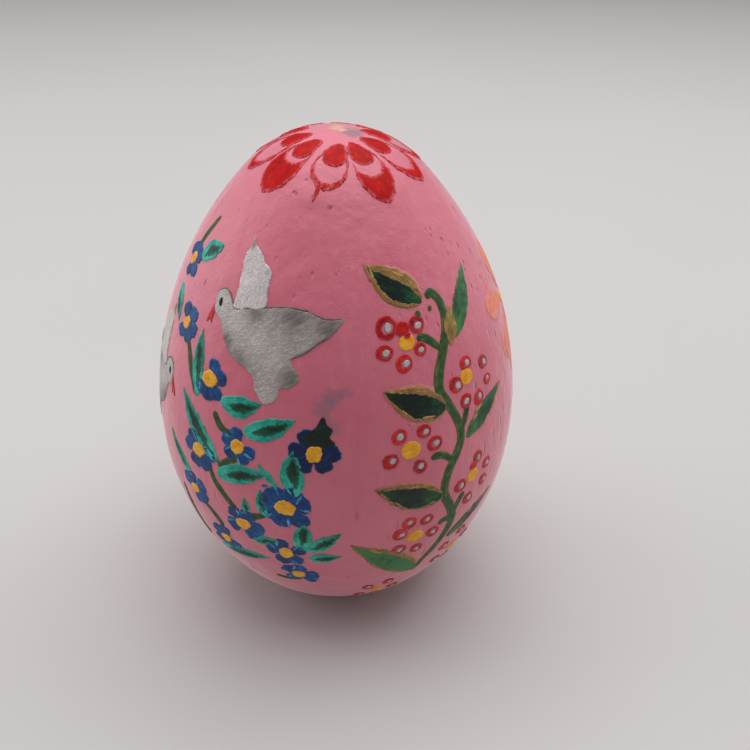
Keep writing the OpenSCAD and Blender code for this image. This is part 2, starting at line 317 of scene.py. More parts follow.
# Unevenness of a hole's edge as a share of the outline's, and of a stroke's edge in mm
HOLE_ROUGH = 0.7
STROKE_ROUGH = 0.08
# Places of the mesh's rows across a half-round stroke, and of the two rows under it, from -1 to 1
SECTION = (-1, -0.92, -0.7, -0.4, 0, 0.4, 0.7, 0.92, 1)
UNDER_SECTION = (0.9, -0.9)
# Rows of points beside a shape's edge, and the clear strip there, as shares of the edge's width
EDGE_ROWS = (0.3, 0.8)
EDGE_CLEAR = 0.22
# Step of the points along an edge, as a share of the grid's step
EDGE_STEP = 0.7
# Height of a grid's row and the shift of its points either way, as shares of the grid's step
ROW_SHARE = 0.87
JITTER = 0.12


# Every film, in the order of making
FILMS = []


class Film:
    """Collects brushed shapes and strokes into one mesh that follows the egg.

    Each vertex keeps rim, 0 at a shape's edge and 1 inside, tone, a lighter or darker hand, and flow,
    its place along and across the brush stroke."""

    def __init__(self, seed, name, material, slot, *nodes):
        self.name = name
        self.material = material
        self.slot = slot
        self.nodes = nodes
        self.rng = random.Random(SEED * 1000 + seed)
        self.verts = []
        self.faces = []
        self.rim = []
        self.tone = []
        self.flow = []
        FILMS.append(self)

    def _add(self, points, rim, tone, flow):
        """Keeps points with their attributes, and returns the number of the first one."""
        start = sum(len(v) for v in self.verts)
        self.verts.append(points)
        self.rim.append(np.broadcast_to(rim, len(points)))
        self.tone.append(np.broadcast_to(tone, len(points)))
        self.flow.append(np.broadcast_to(flow, (len(points), 3)))
        return start

    def _inner_points(self, loops, edge, grid):
        """Points inside a shape: a loose grid, and rows that follow its edge."""
        low, high = loops[0].min(0), loops[0].max(0)
        across = np.arange(low[0], high[0] + grid, grid)
        up = np.arange(low[1], high[1] + grid, grid * ROW_SHARE)
        gx, gy = np.meshgrid(across, up)
        gx[1::2] += grid / 2
        field = np.stack([gx.ravel(), gy.ravel()], 1)
        field += np.array([[self.rng.uniform(-JITTER, JITTER) for _ in range(2)] for _ in field]) * grid
        rows = [loop + side * share * edge * outward(loop)
                for loop in loops for share in EDGE_ROWS for side in (-1, 1)]
        field = np.vstack([field] + rows)
        return field[filled(field, loops) & (edge_distance(field, loops) > edge * EDGE_CLEAR)]

    @staticmethod
    def _fill(points, loops):
        """Triangles between the loops, whose points come first, and the points that they use."""
        sides = []
        for loop in loops:
            start, count = len(sides), len(loop)
            sides += [(start + i, start + (i + 1) % count) for i in range(count)]
        verts, _, faces, *_ = geometry.delaunay_2d_cdt([Vector(p) for p in points], sides, [], 0, 1e-5)
        flat = np.array([tuple(v) for v in verts])
        tri = np.array([f for f in faces if len(f) == 3])
        tri = tri[filled(flat[tri].mean(1), loops)]
        a, b, c = flat[tri[:, 0]], flat[tri[:, 1]], flat[tri[:, 2]]
        area = (b[:, 0] - a[:, 0]) * (c[:, 1] - a[:, 1]) - (b[:, 1] - a[:, 1]) * (c[:, 0] - a[:, 0])
        tri[area < 0] = tri[area < 0][:, ::-1]
        return flat, [tuple(int(i) for i in t) for t in tri]

    def shape(self, plane, outline, holes=(), lift=0.0, thick=BRUSH_T, edge=0.16, grid=0.3, grain=0.0,
              rough=0.05, tones=(), base_tone=0.5, ridges=0.25, fade=0.3):
        """Adds one filled outline with holes, as a thin film whose underside is sunk in the coat."""
        loops = [wobble(even_loop(outline, grid * EDGE_STEP), rough, self.rng)]
        loops += [wobble(even_loop(h, grid * EDGE_STEP), rough * HOLE_ROUGH, self.rng) for h in holes]
        rim_points = np.vstack(loops)
        top, top_faces = self._fill(np.vstack([rim_points, self._inner_points(loops, edge, grid)]), loops)
        under, under_faces = self._fill(rim_points, loops)
        if len(under) != len(rim_points):
            under, under_faces = top, top_faces
        shift = self.rng.uniform(0, 40)
        brushed = turned(top, -grain, (shift, shift * 1.7))
        ridge = np.array([noise.noise(Vector((*(place * BRISTLES), shift))) for place in brushed])
        depth = edge_distance(top, loops)
        share = np.clip(depth / edge, 0, 1)
        bead = np.exp(-((depth - edge) / (0.7 * edge)) ** 2) * BEAD
        rise = thick * (np.sqrt(1 - (1 - share) ** 2) * (FLAT + ridges * ridge + bead) + SKIRT)
        tone = np.full(len(top), base_tone)
        for x, y, r, value in tones:
            weight = np.exp(-((top[:, 0] - x) ** 2 + (top[:, 1] - y) ** 2) / r ** 2)
            tone = tone * (1 - weight) + value * weight
        flow = np.column_stack([brushed, np.full(len(top), shift)])
        # a and b number the first points above and below
        a = self._add(snap(plane.lift(top), lift + rise), np.clip(depth / fade, 0, 1), tone, flow)
        b = self._add(snap(plane.lift(under), lift - SUNK), 0.0, base_tone, 0.0)
        turn = plane.flip
        self.faces += [(a + i, a + j, a + k)[::turn] for i, j, k in top_faces]
        self.faces += [(b + k, b + j, b + i)[::turn] for i, j, k in under_faces]
        border = border_sides(top_faces)
        if set(border_sides(under_faces)) == set(border):
            self.faces += [(a + j, a + i, b + i, b + j)[::turn] for i, j in border]

    def stroke(self, knots, widths, base_tone):
        """Adds one brush stroke along places on the egg, with round ends and a domed section."""
        line = np.array([on_surface(p) for p in smooth_line(knots, 8)])
        count = len(line)
        run = run_along(line)
        wide = np.interp(run / run[-1], np.linspace(0, 1, len(widths)), widths) / 2
        cap = np.minimum(run, run[-1] - run) + 0.02
        wide = wide * np.sqrt(1 - (1 - np.clip(cap / np.maximum(wide, 0.05), 0, 1)) ** 2)
        shift = self.rng.uniform(-30, 30)
        sway = np.array([[noise.noise(Vector((r * 0.9, shift, k))) for k in (0, 7)] for r in run])
        ahead = np.gradient(line, axis=0)
        ahead /= np.linalg.norm(ahead, axis=1, keepdims=True)
        left = np.cross(surface_frame(line)[1], ahead)
        rings = []
        for s in SECTION:
            side = wide * s + STROKE_ROUGH * sway[:, 0 if s < 0 else 1] * abs(s)
            ridge = np.array([noise.noise(Vector((r * 0.4, s * 2.2, shift))) for r in run])
            rise = BRUSH_T * (math.sqrt(1 - s * s) * (0.85 + 0.25 * ridge) + 0.05)
            points = snap(line + left * side[:, None], rise * np.clip(wide / 0.2, 0.15, 1))
            flow = np.stack([run + shift, np.full(count, s * wide.max()), np.full(count, shift)], 1)
            rings.append(self._add(points, 1 - s ** 2, base_tone, flow))
        for s in UNDER_SECTION:
            flow = np.stack([run + shift, np.zeros(count), np.full(count, shift)], 1)
            rings.append(self._add(snap(line + left * (wide * s)[:, None], -SUNK), 0.0, base_tone, flow))
        for ring, beside in zip(rings, rings[1:] + rings[:1]):
            self.faces += [(ring + i, ring + i + 1, beside + i + 1, beside + i) for i in range(count - 1)]
        self.faces.append(tuple(rings))
        self.faces.append(tuple(ring + count - 1 for ring in reversed(rings)))

    def build(self):
        """Makes the film's object, which stands for the CAD nodes."""
        mesh = bpy.data.meshes.new(self.name)
        mesh.from_pydata((np.vstack(self.verts) * MM).tolist(), [], self.faces)
        for label, values, kind in (("rim", np.concatenate(self.rim), "FLOAT"),
                                    ("tone", np.concatenate(self.tone), "FLOAT"),
                                    ("flow", np.vstack(self.flow), "FLOAT_VECTOR")):
            layer = mesh.attributes.new(label, kind, "POINT")
            field = "value" if kind == "FLOAT" else "vector"
            layer.data.foreach_set(field, np.ravel(values).astype(np.float32))
        mesh.validate()
        mesh.shade_smooth()
        mesh.set_sharp_from_angle(angle=math.radians(SHARP))
        mesh.materials.append(self.material)
        piece = new_object(self.name, mesh)
        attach(piece, "root")
        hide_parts(*self.nodes)


# ---------------------------------------------------------------- materials
class Nodes:
    """A new material's node tree, with short ways to add nodes to it."""

    def __init__(self, name):
        self.material = bpy.data.materials.new(name)
        self.material.use_nodes = True
        self.tree = self.material.node_tree
        self.shader = self.tree.nodes["Principled BSDF"]

    def add(self, kind, **values):
        node = self.tree.nodes.new("ShaderNode" + kind)
        for key, value in values.items():
            setattr(node, key, value)
        return node

    def link(self, a, b):
        self.tree.links.new(a, b)

    def attribute(self, name, output="Fac"):
        return self.add("Attribute", attribute_name=name).outputs[output]

    def stretched(self, vector, stretch):
        node = self.add("Mapping")
        node.inputs["Scale"].default_value = stretch
        self.link(vector, node.inputs["Vector"])
        return node.outputs["Vector"]

    def noise(self, vector, scale, detail=3.0, stretch=None):
        """Noise over a vector, with its axes scaled by stretch first."""
        if stretch:
            vector = self.stretched(vector, stretch)
        node = self.add("TexNoise")
        node.inputs["Scale"].default_value = scale
        node.inputs["Detail"].default_value = detail
        node.inputs["Roughness"].default_value = 0.55
        self.link(vector, node.inputs["Vector"])
        return node.outputs["Fac"]

    def span(self, value, low, high, to_low=0.0, to_high=1.0, smooth=False):
        """The value's range from low to high, carried to another range and clamped."""
        node = self.add("MapRange")
        node.interpolation_type = "SMOOTHSTEP" if smooth else "LINEAR"
        for key, number in (("From Min", low), ("From Max", high), ("To Min", to_low), ("To Max", to_high)):
            node.inputs[key].default_value = number
        self.link(value, node.inputs["Value"])
        return node.outputs["Result"]

    def mix(self, share, a, b):
        """Mixed colour, from a to b by share. Colours are outputs or 0 to 255 screen values."""
        node = self.add("Mix", data_type="RGBA")
        self.link(share, node.inputs["Factor"])
        for value, slot in ((a, 6), (b, 7)):
            if isinstance(value, tuple):
                node.inputs[slot].default_value = tuple((c / 255) ** 2.2 for c in value) + (1.0,)
            else:
                self.link(value, node.inputs[slot])
        return node.outputs[2]

    def maths(self, operation, a, b):
        node = self.add("Math", operation=operation)
        for value, slot in ((a, 0), (b, 1)):
            if isinstance(value, (int, float)):
                node.inputs[slot].default_value = value
            else:
                self.link(value, node.inputs[slot])
        return node.outputs[0]

    def times(self, a, b):
        return self.maths("MULTIPLY", a, b)

    def plus(self, a, b):
        return self.maths("ADD", a, b)

    def off_middle(self, value):
        """How far a noise is from its middle, which makes thin lines where it is small."""
        return self.maths("ABSOLUTE", self.maths("SUBTRACT", value, 0.5), 0.0)

    def bump(self, height, distance, strength=1.0, before=None):
        node = self.add("Bump")
        node.inputs["Distance"].default_value = distance
        node.inputs["Strength"].default_value = strength
        self.link(height, node.inputs["Height"])
        if before:
            self.link(before, node.inputs["Normal"])
        return node.outputs["Normal"]

    def surface(self, colour, roughness, normal, settings):
        """Links three outputs to the shader and sets its other inputs, and returns the material."""
        for output, name in ((colour, "Base Color"), (roughness, "Roughness"), (normal, "Normal")):
            self.link(output, self.shader.inputs[name])
        for name, value in settings.items():
            self.shader.inputs[name].default_value = value
        return self.material

    def place(self):
        return self.add("TexCoord").outputs["Object"]


PINK = (226, 138, 152)


def brushed_paint(name, deep, mid, pale, rough=0.5, gloss=0.3, thin=0.0, under=PINK):
    """Acrylic laid by brush: streaks along flow, a hand that tone lightens, and edges thinned to under."""
    n = Nodes(name)
    flow = n.attribute("flow", "Vector")
    rim = n.attribute("rim")
    tone = n.attribute("tone")
    streak = n.noise(flow, 2.2, 4.0, (0.3, 1.8, 1.0))
    blotch = n.noise(flow, 0.8, 3.0)
    body = n.plus(n.span(streak, 0.3, 0.7, -0.2, 0.2), n.span(blotch, 0.3, 0.7, -0.22, 0.22))
    hand = n.plus(body, tone)
    darker = n.mix(n.span(hand, 0.05, 0.5), deep, mid)
    colour = n.mix(n.span(hand, 0.5, 0.95), darker, pale)
    if thin:
        gaps = n.span(n.noise(flow, 2.4, 4.0), 0.38, 0.6)
        worn = n.times(n.span(rim, 0.0, 0.9, 1.0, 0.0), gaps)
        colour = n.mix(n.times(worn, thin), colour, under)
    roughness = n.span(streak, 0.3, 0.7, rough - 0.07, rough + 0.09)
    return n.surface(colour, roughness, n.bump(streak, 0.00005, 0.6), {"Specular IOR Level": gloss})


def glitter_paint(name, deep, mid, pale, painted_glint, metallic, cover, size):
    """Metallic paint crossed by fine raised scribbles, which are thick where tone is high and coloured with a
    painted glint.
    """
    n = Nodes(name)
    flow = n.attribute("flow", "Vector")
    tone = n.attribute("tone")
    streak = n.noise(flow, 1.4, 4.0, (0.5, 1.6, 1.0))
    body = n.plus(n.span(streak, 0.3, 0.7, -0.2, 0.2), tone)
    darker = n.mix(n.span(body, 0.0, 0.45), deep, mid)
    colour = n.mix(n.span(body, 0.45, 1.0), darker, pale)
    curls = n.noise(flow, size, 2.5, (0.7, 1.5, 1.0))
    ridge = n.off_middle(curls)
    broken = n.span(n.noise(flow, size * 2.3, 3.0), 0.5 - cover * 0.3, 0.62 - cover * 0.3)
    line = n.times(n.span(ridge, 0.0, 0.06, 1.0, 0.0, True), broken)
    line = n.times(line, n.span(tone, 0.2, 0.7))
    # Painted highlight: the raised scribbles are coloured lighter, standing for glints of light on their
    # ridges.
    colour = n.mix(n.times(line, 0.5), colour, painted_glint)
    grain = n.bump(n.noise(flow, 6.0, 3.0), 0.00004, 0.5)
    return n.surface(colour, n.span(line, 0.0, 1.0, 0.5, 0.34), n.bump(line, 0.00013, 0.8, grain),
                     {"Metallic": metallic})


STAIN = (128, 104, 124)
SMEAR = (122, 104, 112)
CHIP = (126, 70, 80)
SPOT = (150, 70, 84)
# Marks on the ground coat as (place, size in mm, strength, colour)
MARKS = [
    ((60, 79.8), 1.5, 0.75, SMEAR), ((100, 79.6), 0.9, 0.5, SMEAR), ((-1, 51.6), 1.2, 0.5, STAIN),
    ((-4, 50.2), 1.3, 0.5, STAIN), ((2, 52.2), 0.8, 0.35, STAIN), ((-2, 47.6), 1.1, 0.4, STAIN),
    ((-3, 73.7), 0.35, 0.8, CHIP), ((-13, 74.6), 0.25, 0.7, CHIP), ((0, 66.5), 0.25, 0.5, (160, 70, 86)),
    ((52, 66), 0.3, 0.5, SPOT), ((61, 60), 0.3, 0.5, SPOT)
]
# Bare wood at the tip as (place, size, strength), and the side with more pores as (place, size)
WORN_SPOT = ((150, 79.98), 1.3, 0.9)
POROUS_SIDE = ((56, 54), 17.0)


def mark(n, where, place, size, ragged=0.5):
    """1 near a place on the egg, fading out at size mm with a ragged edge."""
    node = n.add("VectorMath", operation="DISTANCE")
    n.link(where, node.inputs[0])
    node.inputs[1].default_value = tuple(on_surface(place) * MM)
    torn = n.span(n.noise(where, 900.0 / size, 4.0), 0.3, 0.7, -ragged * size * MM, ragged * size * MM)
    far = n.plus(node.outputs["Value"], torn)
    return n.span(far, size * 0.7 * MM, size * 1.3 * MM, 1.0, 0.0)


def pink_ground():
    """Satin pink ground coat: vertical brush streaks, pores darkened with painted shade, scuffs, smears and a
    worn spot at the tip.
    """
    n = Nodes("pink_ground")
    where = n.place()
    cloud = n.noise(where, 55.0, 3.0)
    streak = n.noise(where, 700.0, 4.0, (1.0, 1.0, 0.16))
    fine = n.noise(where, 2600.0, 3.0)
    colour = n.mix(n.span(cloud, 0.3, 0.7), (208, 102, 121), (218, 116, 135))
    colour = n.mix(n.span(streak, 0.55, 0.85, 0.0, 0.3), colour, (236, 152, 168))
    cells = n.add("TexVoronoi")
    cells.inputs["Scale"].default_value = 620.0
    n.link(n.stretched(where, (1.0, 1.0, 0.28)), cells.inputs["Vector"])
    patch = n.plus(n.span(n.noise(where, 90.0, 2.0), 0.5, 0.66), mark(n, where, *POROUS_SIDE))
    hole = n.span(cells.outputs["Distance"], 0.0, 0.2, 1.0, 0.0)
    pore_and_shade = n.times(hole, n.span(patch, 0.0, 1.0))
    # Painted shade: the pores are coloured a darker pink, and the same mask sinks them as pits in the bump
    # below.
    colour = n.mix(n.times(pore_and_shade, 0.6), colour, (176, 78, 96))
    wood = n.mix(n.span(n.noise(where, 900.0, 3.0), 0.35, 0.65), (226, 190, 146), (200, 150, 108))
    place, size, strength = WORN_SPOT
    colour = n.mix(n.times(mark(n, where, place, size, 0.7), strength), colour, wood)
    for place, size, strength, stain in MARKS:
        colour = n.mix(n.times(mark(n, where, place, size, 0.6), strength), colour, stain)
    scuff = n.off_middle(n.noise(where, 620.0, 3.0))
    scuffed = n.span(n.noise(where, 330.0, 2.0), 0.54, 0.64)
    scuff = n.times(n.span(scuff, 0.0, 0.03, 1.0, 0.0), scuffed)
    ridges = n.bump(streak, 0.00014, 0.5)
    lumps = n.bump(n.noise(where, 300.0, 3.0), 0.0004, 0.6, ridges)
    marks = n.bump(scuff, 0.00006, 0.5, lumps)
    pits = n.bump(n.span(pore_and_shade, 0.0, 1.0, 1.0, 0.0), 0.00026, 0.9, marks)
    return n.surface(colour, n.span(streak, 0.3, 0.7, 0.42, 0.56), n.bump(fine, 0.00003, 0.5, pits),
                     {"Specular IOR Level": 0.55, "Sheen Weight": 0.7, "Sheen Roughness": 0.35,
                      "Sheen Tint": (1.0, 0.84, 0.88, 1.0)})


def bare_wood():
    """Sanded hardwood with fine grain along the egg's axis."""
    n = Nodes("bare_wood")
    where = n.place()
    grain = n.noise(where, 900.0, 5.0, (1.0, 1.0, 0.08))
    rings = n.noise(where, 160.0, 2.0, (1.0, 1.0, 0.2))
    colour = n.mix(n.span(grain, 0.3, 0.7), (214, 178, 132), (178, 136, 92))
    colour = n.mix(n.span(rings, 0.4, 0.7, 0.0, 0.5), colour, (160, 118, 78))
    return n.surface(colour, n.span(grain, 0.3, 0.7, 0.5, 0.7), n.bump(grain, 0.00012, 0.6), {})


RED = brushed_paint("red_paint", (142, 2, 2), (188, 4, 4), (222, 56, 40), gloss=0.12, thin=0.7)
BERRY_RED = brushed_paint("berry_red", (126, 14, 18), (196, 28, 30), (222, 60, 50), 0.42, thin=0.3)
# The fourth colour of each silver paint is the painted glint on its raised scribbles.
SILVER = glitter_paint("silver_paint", (116, 108, 106), (162, 153, 150), (198, 189, 185), (232, 226, 222),
                       0.12, 0.6, 1.3)
PALE_SILVER = glitter_paint("pale_silver_paint", (146, 138, 138), (204, 194, 194), (222, 212, 212),
                            (236, 230, 230), 0.1, 0.6, 1.3)
DOT_SILVER = glitter_paint("dot_silver", (150, 142, 140), (190, 184, 182), (214, 208, 206), (240, 236, 234),
                           0.3, 0.9, 2.4)
OUTLINE = brushed_paint("outline_paint", (60, 50, 54), (92, 80, 82), (140, 124, 126), thin=0.5,
                        under=(166, 158, 154))
BLACK = brushed_paint("black_paint", (12, 10, 10), (26, 22, 22), (48, 42, 42), gloss=0.2)
TEAL = brushed_paint("teal_paint", (10, 104, 88), (22, 150, 132), (70, 196, 172), thin=0.15)
HEART = brushed_paint("dark_green_paint", (14, 44, 32), (24, 84, 58), (52, 138, 102), thin=1.0,
                      under=(38, 150, 130))
BLUE = brushed_paint("blue_paint", (14, 34, 76), (20, 74, 138), (44, 130, 188), thin=0.4,
                     under=(24, 140, 176))
LIGHT_BLUE = brushed_paint("light_blue_paint", (34, 100, 160), (66, 150, 190), (120, 190, 214), thin=1.0,
                           under=(30, 66, 136))
YELLOW = brushed_paint("yellow_paint", (208, 126, 18), (238, 166, 36), (250, 200, 84), thin=0.1)
VINE_GREEN = brushed_paint("vine_green_paint", (18, 54, 30), (50, 88, 50), (138, 136, 80), thin=0.8,
                           under=(128, 110, 58))
LEAF_GREEN = brushed_paint("leaf_green_paint", (22, 34, 32), (24, 72, 42), (64, 124, 70), 0.44, thin=0.25)
GOLD = brushed_paint("gold_paint", (84, 78, 30), (136, 112, 54), (196, 164, 100), 0.48, thin=0.9,
                     under=(190, 118, 96))
BLACK_GREEN = brushed_paint("black_green_paint", (14, 24, 22), (26, 40, 34), (34, 66, 56))
WASH = brushed_paint("ochre_wash", (168, 122, 84), (196, 136, 104), (214, 150, 120), thin=1.0)
ORANGE = brushed_paint("orange_paint", (224, 112, 90), (236, 134, 108), (244, 160, 138), thin=0.9)


# ---------------------------------------------------------------- wood and ground coat
COAT_SIDES = 300
# Distance in mm between the coat's outer rings, and how many of them one inner ring stands for
RING_STEP = 0.35
INNER_SKIP = 12


def revolved(rings, relief):
    """Points and faces of a surface of revolution through rings of (radius, height), from pole to foot."""
    turns = np.linspace(0, 2 * math.pi, COAT_SIDES, endpoint=False)
    rows = [np.stack([r * np.sin(turns), -r * np.cos(turns), np.full(COAT_SIDES, z)], 1) for r, z in rings]
    points = np.vstack(rows)
    if relief:
        normal = surface_frame(points)[1]
        points = points + normal * dents(points)[:, None]
    faces = []
    for row in range(0, len(points) - COAT_SIDES, COAT_SIDES):
        for i in range(COAT_SIDES):
            j = (i + 1) % COAT_SIDES
            faces.append((row + i, row + COAT_SIDES + i, row + COAT_SIDES + j, row + j))
    return points, faces


def arc_rings(off):
    """(radius, height) of rings off mm outside the coat's surface, from the pole to the foot's lip."""
    foot = -math.asin((BASE_Z - FOOT_LIP) / (BASE_R + off))
    arcs = [(CROWN_R, 0.0, CROWN_Z, math.pi / 2 - 0.012, CROWN_JOIN),
            (UPPER_R, BELLY_R - UPPER_R, BELLY_Z, CROWN_JOIN, 0.0),
            (LOWER_R, BELLY_R - LOWER_R, BELLY_Z, 0.0, -BASE_JOIN),
            (BASE_R, 0.0, BASE_Z, -BASE_JOIN, foot)]
    rings = []
    for r, x, z, start, end in arcs:
        steps = int((start - end) * r / RING_STEP)
        for k in range(steps):
            angle = start + (end - start) * k / steps
            rings.append((x + (r + off) * math.cos(angle), z + (r + off) * math.sin(angle)))
    rings.append(((BASE_R + off) * math.cos(foot), FOOT_LIP))
    return rings


def make_ground_coat():
    """The pink coat as one closed skin."""
    points, faces = revolved(arc_rings(0.0), True)
    inner_rings = arc_rings(-COAT_T)
    inner, inner_faces = revolved(inner_rings[::INNER_SKIP] + inner_rings[-1:], False)
    shift = len(points)
    faces += [tuple(shift + i for i in reversed(f)) for f in inner_faces]
    last, inner_last = shift - COAT_SIDES, shift + len(inner) - COAT_SIDES
    for i in range(COAT_SIDES):
        j = (i + 1) % COAT_SIDES
        faces.append((last + i, inner_last + i, inner_last + j, last + j))
    faces.append(tuple(range(COAT_SIDES)))
    faces.append(tuple(shift + i for i in reversed(range(COAT_SIDES))))
    mesh = bpy.data.meshes.new("pink_ground_coat")
    mesh.from_pydata((np.vstack([points, inner]) * MM).tolist(), [], faces)
    mesh.shade_smooth()
    mesh.materials.append(pink_ground())
    piece = new_object("pink_ground_coat", mesh)
    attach(piece, "root")
    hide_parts("ground_coat")


# ---------------------------------------------------------------- crown rosette
# Petals as (drop's place, tip's place, width, share of the length that the gap reaches, gap's width). Places
# here are a longitude and a distance from the pole. The front petals lean as they were painted.
CROWN_PETALS = [
    ((-72, 5.8), (-80, 12.6), 5.4, 0.86, 4.2), ((-36, 6.5), (-47, 13.6), 5.6, 0.56, 3.6),
    ((1, 7.3), (-8, 12.4), 5.2, 0.88, 4.2), ((28, 7.4), (31, 14.2), 5.4, 0.66, 4.0),
    ((60, 6.8), (67, 13.6), 5.4, 0.8, 4.2), ((97, 6.2), (99, 12.8), 5.4, 0.84, 4.2),
    ((133, 6.8), (137, 13.2), 5.6, 0.84, 4.4), ((170, 6.6), (169, 13.6), 5.6, 0.88, 4.4),
    ((207, 6.8), (203, 13.2), 5.4, 0.8, 4.2), ((246, 6.4), (244, 12.8), 5.4, 0.86, 4.4)
]
# Width of the paint where a petal starts, the drop's reach behind and ahead of its place, and its width
CROWN_ARM = 0.3
DROP_BACK = 2.6
DROP_AHEAD = 2.1
DROP_W = 3.4
# Run of paint past the front petal's tip, in mm towards the front and to the right of the pole
CROWN_DRIP = [
    (11.9, -1.9), (12.5, -2.2), (13.0, -2.6), (13.3, -3.1), (12.8, -3.0), (12.3, -2.7), (11.7, -2.6)
]


def polar(place):
    """Point on the level plane at the pole, from a longitude and a distance."""
    lon = math.radians(place[0])
    return np.array([place[1] * math.cos(lon), place[1] * math.sin(lon)])


def make_crown():
    petals = Film(1, "crown_petals_red", RED, "red_paint", "crown_petals")
    drops = Film(2, "crown_drops_red", RED, "red_paint", "crown_drops")
    plane = CrownPlane()
    for drop_place, tip_place, width, gap_share, gap_width in CROWN_PETALS:
        ahead = polar(tip_place) - polar(drop_place)
        reach = float(np.linalg.norm(ahead))
        length = reach + DROP_BACK
        angle = math.degrees(math.atan2(ahead[1], ahead[0]))
        base = polar(drop_place) - ahead / reach * DROP_BACK
        outline = tongue_outline(0, length, width, 0.62, 0.55, 0.6)
        gap = tongue_outline(CROWN_ARM, length * gap_share, gap_width, 0.62, 0.55, 0.5)
        petals.shape(plane, turned(outline, angle, base), [turned(gap, angle, base)], rough=0.2, grid=0.32,
                     grain=angle, base_tone=0.42, tones=[(*(base + ahead * 0.9), 1.2, 0.3)], fade=0.5)
        drop = tongue_outline(0.2, DROP_BACK + DROP_AHEAD, DROP_W, 0.6, 0.5, 0.5)
        drops.shape(plane, turned(drop, angle, base), rough=0.1, base_tone=0.36, grain=angle)
    petals.shape(plane, CROWN_DRIP, grid=0.2, rough=0.05, base_tone=0.4)


# ---------------------------------------------------------------- doves
# Doves as (place, turn, -1 for a mirrored one). Their outlines are on the plane that touches the egg there.
DOVES = [((-22, 59), 0, 1), ((-82, 44.5), 3, -1)]
DOVE_BODY = [
    (-10.4, 2.4), (-9.9, 1.2), (-8.7, 0.4), (-8.1, -0.7), (-7.5, -2.3), (-6.3, -3.8), (-4.4, -5.0),
    (-2.6, -5.9), (-1.9, -6.6), (-1.7, -7.8), (-1.0, -9.0), (-0.2, -10.0), (1.0, -9.6), (2.0, -8.5),
    (2.1, -7.3), (3.6, -6.9), (4.6, -6.1), (4.6, -5.0), (3.9, -4.1), (3.2, -3.2), (3.7, -2.6), (5.0, -1.8),
    (6.8, -0.2), (8.3, 1.0), (9.5, 2.4), (10.0, 3.6), (8.6, 3.1), (7.0, 3.1), (4.4, 3.7), (1.2, 3.7),
    (-1.3, 3.2), (-4.5, 2.7), (-6.1, 2.3), (-6.9, 3.3), (-7.5, 4.3), (-8.6, 4.9), (-9.8, 4.6), (-10.4, 3.6)
]
DOVE_WING = [
    (-6.4, 2.5), (-6.3, 4.6), (-6.2, 6.8), (-6.2, 8.6), (-6.1, 10.2), (-5.6, 11.2), (-5.4, 12.6),
    (-4.6, 11.5), (-3.7, 10.7), (-2.8, 9.5), (-1.6, 8.5), (-1.2, 7.1), (-1.3, 5.3), (-1.3, 3.3), (-3.8, 2.7)
]
DOVE_BEAK = [
    (-10.1, 2.9), (-10.8, 2.3), (-11.4, 1.2), (-12.0, -0.2), (-11.2, 0.2), (-11.0, 0.6), (-10.7, -0.3),
    (-10.5, 0.7), (-10.2, 1.6)
]
# Lighter and darker parts as (right, up, reach, tone)
DOVE_TONES = [
    (-8.8, 3.0, 2.0, 1.1), (-6.0, 0.4, 2.4, 0.95), (-7.0, -2.4, 1.5, 0.0), (-4.2, -4.6, 1.8, 0.0),
    (-2.2, -1.2, 2.6, 0.9), (0.8, -3.6, 2.2, 0.85), (-0.2, -8.2, 1.8, 0.8), (5.0, 0.0, 1.8, 0.6),
    (8.4, 2.4, 2.6, 0.1), (3.0, 2.5, 1.9, 0.1), (-2.6, 2.2, 1.3, 0.12), (3.7, -5.6, 1.6, 0.05)
]
DOVE_WING_TONES = [
    (-5.3, 11.8, 1.2, 0.0), (-2.0, 8.0, 0.9, 0.3), (-1.6, 5.6, 0.8, 0.35), (-4.8, 6.5, 2.0, 0.9)
]
DOVE_LINES = [
    [(-10.3, 3.8), (-9.8, 4.6), (-8.7, 4.95), (-7.6, 4.45), (-6.9, 3.4), (-6.2, 2.4)],
    [(-6.2, 2.4), (-3.5, 2.8), (-1.2, 3.25), (1.4, 3.75), (4.4, 3.8), (7.0, 3.2), (9.9, 3.6)],
    [(3.4, -2.9), (5.0, -1.9), (6.8, -0.3), (8.3, 0.9), (9.4, 2.3)]
]
DOVE_LINE_W = 0.2


def make_doves():
    bodies = Film(3, "dove_bodies_silver", SILVER, "silver_paint", "dove_bodies")
    wings = Film(4, "dove_wings_pale", PALE_SILVER, "pale_silver_paint", "dove_wings")
    beaks = Film(5, "dove_beaks_red", BERRY_RED, "red_paint", "dove_beaks")
    eyes = Film(6, "dove_eyes_black", BLACK, "black_paint", "dove_eyes")
    lines = Film(7, "dove_outlines_grey", OUTLINE, "grey_paint", "dove_outlines")
    for place, turn, flip in DOVES:
        plane = Plane(place, turn, flip)
        bodies.shape(plane, smooth_loop(DOVE_BODY, 5), grid=0.3, grain=35, rough=0.12, tones=DOVE_TONES,
                     base_tone=0.45, ridges=0.4)
        wings.shape(plane, smooth_loop(DOVE_WING, 5), grid=0.3, grain=80, rough=0.2, ridges=0.5,
                    tones=DOVE_WING_TONES, thick=BRUSH_T * 1.3, base_tone=0.6)
        beaks.shape(plane, smooth_loop(DOVE_BEAK, 4), grid=0.2, edge=0.1, rough=0.04)
        eyes.shape(plane, oval_outline(1.3, 0.7, (-9.1, 3.0), 85), lift=BRUSH_T, thick=0.05, grid=0.16,
                   edge=0.1, rough=0.05, base_tone=0.2)
        for line in DOVE_LINES:
            flat = smooth_line(line, 6)
            side = np.gradient(flat, axis=0)
            side = np.stack([-side[:, 1], side[:, 0]], 1) / np.linalg.norm(side, axis=1, keepdims=True)
            taper = np.sqrt(np.sin(np.linspace(0.05, math.pi - 0.05, len(flat))))[:, None]
            half = DOVE_LINE_W / 2 * taper
            outline = np.vstack([flat + side * half, (flat - side * half)[::-1]])
            lines.shape(plane, outline, lift=BRUSH_T * 0.6, thick=0.06, grid=0.14, edge=0.08, rough=0.04,
                        fade=0.1)


# ---------------------------------------------------------------- blue garland
GARLAND_TURNS = (0, -110)
